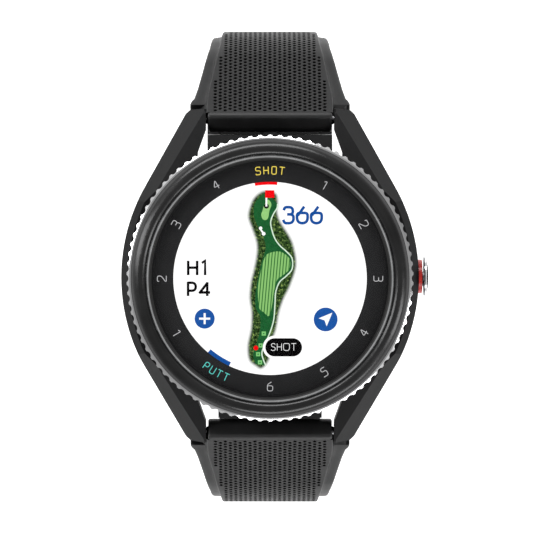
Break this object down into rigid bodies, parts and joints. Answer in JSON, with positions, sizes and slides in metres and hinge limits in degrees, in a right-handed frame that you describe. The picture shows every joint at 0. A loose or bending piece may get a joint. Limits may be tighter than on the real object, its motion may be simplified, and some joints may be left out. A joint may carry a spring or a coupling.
{
  "type": "golf gps watch",
  "caption": "Round golf GPS watch on an arched two-piece silicone strap, with a turning coin-edge bezel, a press crown, quick-release bars and a pin buckle.",
  "frame": {"origin": "centre of the flat face of the case back", "axes": "+Z out of the display, +Y towards 12 o'clock, +X towards the crown at 3 o'clock"},
  "size_m": [0.0492, 0.078, 0.0823],
  "materials": {
    "case_black": "satin black coating over cast zinc alloy",
    "bezel_gloss": "polished black plated steel",
    "coin_chrome": "bright chrome coin edge",
    "trim_silver": "turned silver trim",
    "crystal_glass": "clear mineral glass",
    "touch_glass": "clear touch sensor film",
    "dial_print": "black printed ring",
    "display_white": "lit display face",
    "holder_black": "moulded black",
    "seal_rubber": "black seal rubber",
    "back_steel": "brushed steel back",
    "screw_steel": "small steel screws",
    "contact_gold": "gold plated contacts",
    "spring_steel": "spring steel",
    "board_green": "green solder mask board",
    "can_tin": "tinned shield",
    "chip_black": "moulded chip packages",
    "antenna_ceramic": "plated plastic antenna carrier",
    "battery_foil": "silver pouch cell",
    "lead_red": "insulated leads",
    "motor_steel": "coin motor case",
    "flex_amber": "amber flexible circuit",
    "switch_body": "switch body",
    "tube_black": "black crown tube",
    "accent_red": "red accent ring",
    "crown_chrome": "polished crown",
    "stem_steel": "steel stem",
    "strap_silicone": "matt black silicone, perforated pattern",
    "bar_steel": "spring bar steel",
    "buckle_black": "black plated buckle"
  },
  "bodies": {
    "case": {"mid_case": "case_black", "back_cover": "back_steel", "back_gasket": "seal_rubber", "back_screws": "screw_steel", "contact_insulator": "holder_black", "charge_contacts": "contact_gold", "crystal": "crystal_glass", "crystal_gasket": "seal_rubber", "crystal_trim_ring": "trim_silver", "dial_ring": "dial_print", "touch_sensor": "touch_glass", "display_holder": "holder_black", "display_panel": "display_white", "bezel_slide_ring": "holder_black", "bezel_click_spring": "spring_steel", "bezel_retaining_wire": "spring_steel", "inner_frame": "holder_black", "main_board": "board_green", "chassis_screws": "screw_steel", "shield_can": "can_tin", "gps_module": "can_tin", "board_chips": "chip_black", "gps_antenna": "antenna_ceramic", "battery": "battery_foil", "battery_lead": "lead_red", "vibration_motor": "motor_steel", "display_flex": "flex_amber", "crown_tube": "tube_black", "crown_accent_ring": "accent_red", "crown_seal": "seal_rubber", "crown_spring": "spring_steel", "crown_switch": "switch_body", "switch_flex": "flex_amber"},
    "bezel": {"bezel_top": "bezel_gloss", "coin_edge_ring": "coin_chrome"},
    "crown": {"crown_cap": "crown_chrome", "crown_stem": "stem_steel", "crown_clip": "spring_steel"},
    "upper_strap": {"strap_short": "strap_silicone", "fixed_keeper": "strap_silicone", "upper_bar_tube": "bar_steel", "upper_bar_tip": "bar_steel", "upper_bar_spring": "spring_steel"},
    "lower_strap": {"strap_long": "strap_silicone", "lower_bar_tube": "bar_steel", "lower_bar_tip": "bar_steel", "lower_bar_spring": "spring_steel"},
    "upper_release": {"upper_release_lever": "bar_steel"},
    "lower_release": {"lower_release_lever": "bar_steel"},
    "sliding_keeper": {"free_keeper": "strap_silicone"},
    "buckle": {"buckle_frame": "buckle_black", "buckle_pin": "buckle_black"},
    "tang": {"buckle_tang": "buckle_black"}
  },
  "joints": [
    {"name": "bezel_turn", "type": "hinge", "parent": "case", "child": "bezel", "pos_m": [0, 0, 0.0115], "axis": [0, 0, 1], "continuous": true},
    {"name": "crown_press", "type": "slide", "parent": "case", "child": "crown", "axis": [-1, 0, 0], "range_m": [0, 0.0005], "stiffness_N_per_m": 600, "springref_m": -0.0006, "deforming": ["crown_spring"]},
    {"name": "upper_strap_hinge", "type": "hinge", "parent": "case", "child": "upper_strap", "pos_m": [0, 0.0253, 0.0028], "axis": [1, 0, 0], "range_deg": [0, 60]},
    {"name": "lower_strap_hinge", "type": "hinge", "parent": "case", "child": "lower_strap", "pos_m": [0, -0.0253, 0.0028], "axis": [-1, 0, 0], "range_deg": [0, 60]},
    {"name": "upper_release_slide", "type": "slide", "parent": "upper_strap", "child": "upper_release", "axis": [1, 0, 0], "range_m": [0, 0.001], "stiffness_N_per_m": 150, "springref_m": -0.001, "deforming": ["upper_bar_spring"]},
    {"name": "lower_release_slide", "type": "slide", "parent": "lower_strap", "child": "lower_release", "axis": [1, 0, 0], "range_m": [0, 0.001], "stiffness_N_per_m": 150, "springref_m": -0.001, "deforming": ["lower_bar_spring"]},
    {"name": "keeper_slide", "type": "hinge", "parent": "upper_strap", "child": "sliding_keeper", "pos_m": [0, 0.01499, -0.04519], "axis": [1, 0, 0], "range_deg": [0, 28]},
    {"name": "buckle_pivot", "type": "hinge", "parent": "upper_strap", "child": "buckle", "pos_m": [0, 0.02119, -0.06682], "axis": [1, 0, 0], "range_deg": [-60, 60]},
    {"name": "tang_pivot", "type": "hinge", "parent": "buckle", "child": "tang", "pos_m": [0, 0.02119, -0.06682], "axis": [1, 0, 0], "range_deg": [0, 75]}
  ]
}
